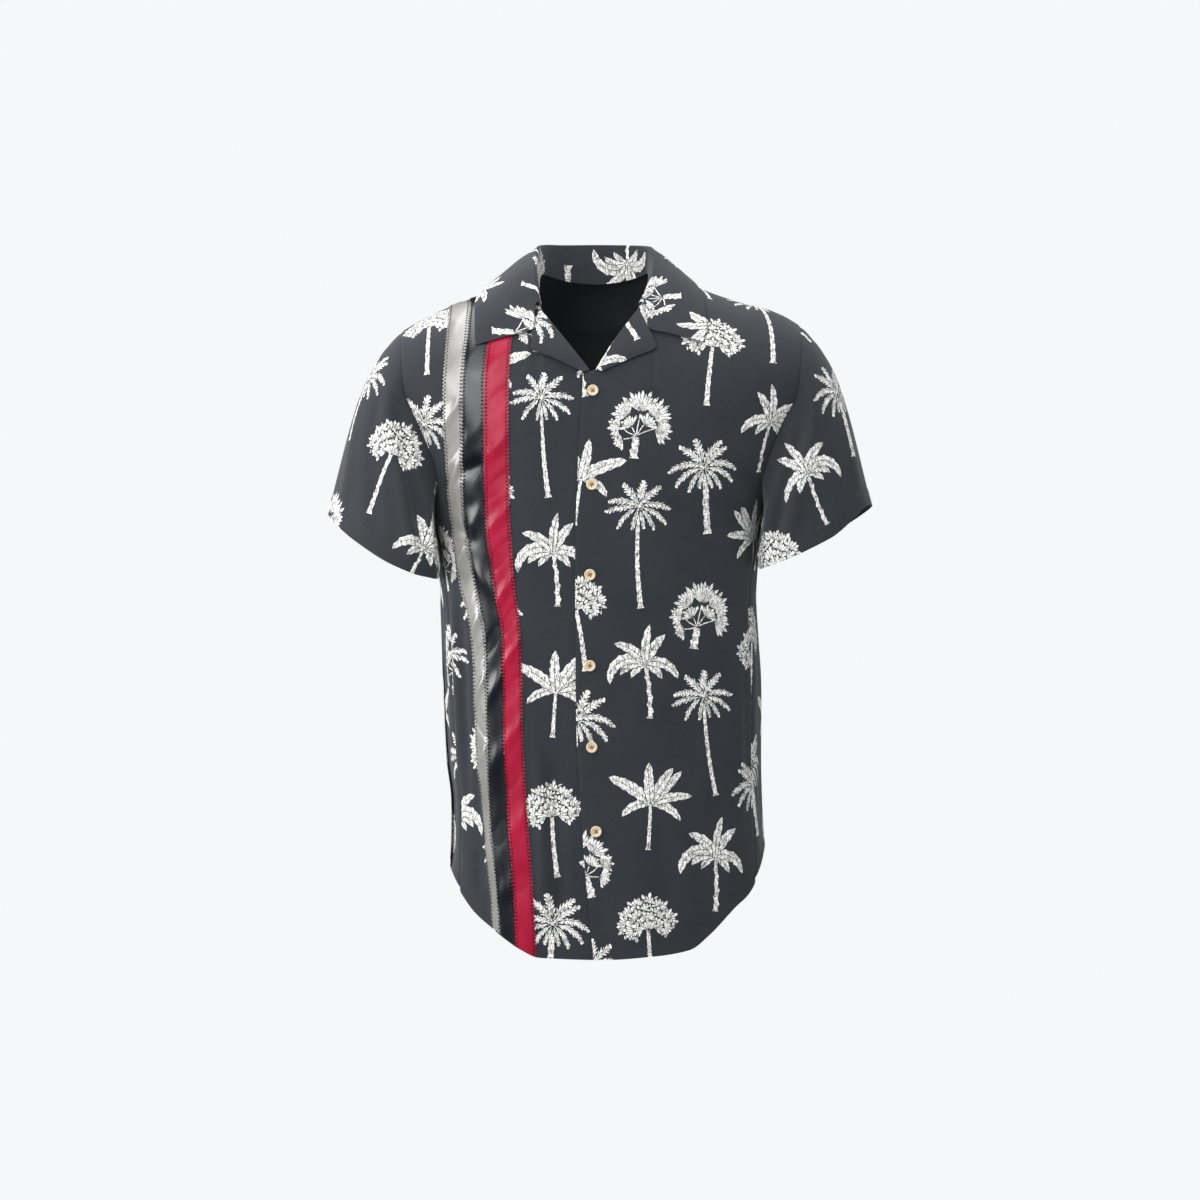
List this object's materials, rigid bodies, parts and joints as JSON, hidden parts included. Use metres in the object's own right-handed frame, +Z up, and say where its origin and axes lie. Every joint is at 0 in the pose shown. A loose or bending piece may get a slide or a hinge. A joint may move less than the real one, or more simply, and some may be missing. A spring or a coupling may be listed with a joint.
{
  "type": "ribbon shirt",
  "caption": "Short-sleeved camp-collar shirt in printed cloth with a row of satin ribbons sewn down its right front, in worn form.",
  "frame": {"origin": "the middle of the neck opening, at the height where the shoulder seams meet the collar", "axes": "+Z up, -Y out of the shirt's front, +X to the wearer's left"},
  "size_m": [0.574, 0.2436, 0.7595],
  "materials": {
    "cloth": "matt plain-weave rayon, charcoal black with an ivory palm print",
    "ribbon_white": "silver-white satin ribbon",
    "ribbon_black": "black satin ribbon",
    "ribbon_red": "red satin ribbon",
    "button": "tan, lightly mottled, soft sheen"
  },
  "bodies": {
    "root": {"front_right": "cloth", "front_left": "cloth", "back": "cloth", "sleeve_right": "cloth", "sleeve_left": "cloth", "collar": "cloth", "lapel_right": "cloth", "lapel_left": "cloth", "ribbon_white": "ribbon_white", "ribbon_black": "ribbon_black", "ribbon_red": "ribbon_red", "button_1": "button", "button_2": "button", "button_3": "button", "button_4": "button", "button_5": "button", "button_6": "button"}
  },
  "joints": []
}
